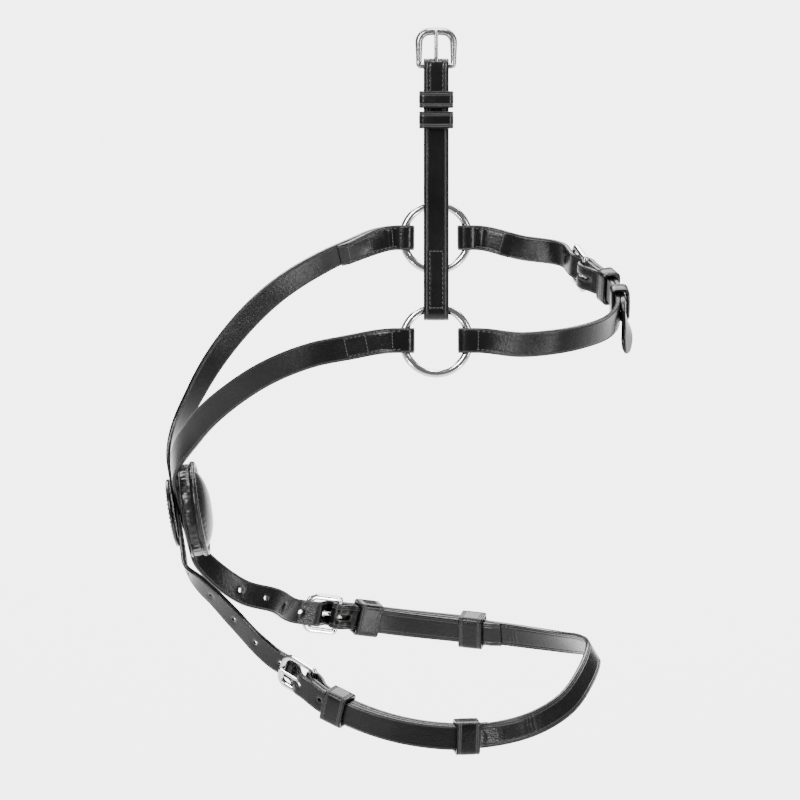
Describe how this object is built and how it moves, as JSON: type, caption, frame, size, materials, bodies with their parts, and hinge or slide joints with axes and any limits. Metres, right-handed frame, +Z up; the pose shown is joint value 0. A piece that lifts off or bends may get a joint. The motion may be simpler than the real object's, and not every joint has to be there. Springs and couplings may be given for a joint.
{
  "type": "grackle noseband",
  "caption": "Figure-of-eight grackle noseband: leather straps crossing at a padded nose disc, cheek rings, a jaw strap, a chin strap and a near cheekpiece with buckles.",
  "frame": {"origin": "midway between the centres of the two cheek rings", "axes": "+Z up the horse's face towards the poll, +X towards the jaw, +Y to the horse's off side"},
  "size_m": [0.2997, 0.2151, 0.4676],
  "materials": {
    "strap_leather": "smooth semi-gloss",
    "keeper_leather": "smooth semi-gloss",
    "disc_leather": "glossy",
    "pad_leather": "soft semi-gloss",
    "pad_foam": "matt foam",
    "ring_steel": "polished",
    "buckle_steel": "polished",
    "tongue_steel": "polished"
  },
  "bodies": {
    "noseband": {"near_nose_strap": "strap_leather", "off_nose_strap": "strap_leather", "near_jaw_strap": "strap_leather", "off_jaw_strap": "strap_leather", "chin_strap": "strap_leather", "nose_disc": "disc_leather", "pad_backing": "pad_leather", "pad_wall": "pad_leather", "pad_rim": "pad_leather", "pad_face": "pad_leather", "pad_foam": "pad_foam", "near_chin_keeper": "keeper_leather", "off_chin_keeper": "keeper_leather", "jaw_keeper": "keeper_leather"},
    "near_ring": {"near_ring": "ring_steel"},
    "off_ring": {"off_ring": "ring_steel"},
    "cheek": {"cheekpiece": "strap_leather", "cheek_keeper": "keeper_leather"},
    "cheek_runner": {"cheek_runner": "keeper_leather"},
    "near_chin_runner": {"near_chin_runner": "keeper_leather"},
    "off_chin_runner": {"off_chin_runner": "keeper_leather"},
    "jaw_runner": {"jaw_runner": "keeper_leather"},
    "near_chin_buckle": {"near_chin_frame": "buckle_steel"},
    "near_chin_tongue": {"near_chin_tongue": "tongue_steel"},
    "off_chin_buckle": {"off_chin_frame": "buckle_steel"},
    "off_chin_tongue": {"off_chin_tongue": "tongue_steel"},
    "jaw_buckle": {"jaw_frame": "buckle_steel"},
    "jaw_tongue": {"jaw_tongue": "tongue_steel"},
    "cheek_buckle": {"cheek_frame": "buckle_steel"},
    "cheek_tongue": {"cheek_tongue": "tongue_steel"}
  },
  "joints": [
    {"name": "near_ring_spin", "type": "hinge", "parent": "noseband", "child": "near_ring", "pos_m": [0, -0.097, 0], "axis": [0, -0.9397, 0.342], "continuous": true},
    {"name": "off_ring_spin", "type": "hinge", "parent": "noseband", "child": "off_ring", "pos_m": [0, 0.097, 0], "axis": [0, -0.9397, 0.342], "continuous": true},
    {"name": "cheek_swing", "type": "hinge", "parent": "noseband", "child": "cheek", "pos_m": [0, -0.08978, 0.01983], "axis": [1, 0, 0], "range_deg": [-20, 25]},
    {"name": "cheek_runner_slide", "type": "slide", "parent": "cheek", "child": "cheek_runner", "axis": [0, -0.342, -0.9397], "range_m": [-0.0018, 0.012]},
    {"name": "near_chin_runner_slide", "type": "slide", "parent": "noseband", "child": "near_chin_runner", "axis": [0.9815, 0.1871, -0.0401], "range_m": [-0.001, 0.001]},
    {"name": "off_chin_runner_slide", "type": "slide", "parent": "noseband", "child": "off_chin_runner", "axis": [0.9739, -0.2253, -0.0292], "range_m": [-0.001, 0.001]},
    {"name": "jaw_runner_slide", "type": "slide", "parent": "noseband", "child": "jaw_runner", "axis": [-0.1259, 0.9913, 0.0386], "range_m": [0, 0.002]},
    {"name": "near_chin_frame_tilt", "type": "hinge", "parent": "noseband", "child": "near_chin_buckle", "pos_m": [-0.08022, -0.06683, -0.2446], "axis": [0.2411, -0.3008, 0.9227], "range_deg": [0, 2]},
    {"name": "near_chin_tongue_lift", "type": "hinge", "parent": "near_chin_buckle", "child": "near_chin_tongue", "pos_m": [-0.08022, -0.06683, -0.2446], "axis": [0.2411, -0.3008, 0.9227], "range_deg": [0, 1]},
    {"name": "off_chin_frame_tilt", "type": "hinge", "parent": "noseband", "child": "off_chin_buckle", "pos_m": [-0.06332, 0.08014, -0.25276], "axis": [-0.1991, -0.179, -0.9635], "range_deg": [0, 2]},
    {"name": "off_chin_tongue_lift", "type": "hinge", "parent": "off_chin_buckle", "child": "off_chin_tongue", "pos_m": [-0.06332, 0.08014, -0.25276], "axis": [-0.1991, -0.179, -0.9635], "range_deg": [0, 1]},
    {"name": "jaw_frame_tilt", "type": "hinge", "parent": "noseband", "child": "jaw_buckle", "pos_m": [0.09509, 0.05233, -0.00893], "axis": [-0.0638, 0.0716, -0.9954], "range_deg": [0, 2]},
    {"name": "jaw_tongue_lift", "type": "hinge", "parent": "jaw_buckle", "child": "jaw_tongue", "pos_m": [0.09509, 0.05233, -0.00893], "axis": [-0.0638, 0.0716, -0.9954], "range_deg": [0, 1]},
    {"name": "cheek_frame_tilt", "type": "hinge", "parent": "cheek", "child": "cheek_buckle", "pos_m": [0, -0.03905, 0.16482], "axis": [1, 0, 0], "range_deg": [-25, 25]},
    {"name": "cheek_tongue_lift", "type": "hinge", "parent": "cheek_buckle", "child": "cheek_tongue", "pos_m": [0, -0.03905, 0.16482], "axis": [1, 0, 0], "range_deg": [0, 60]}
  ]
}
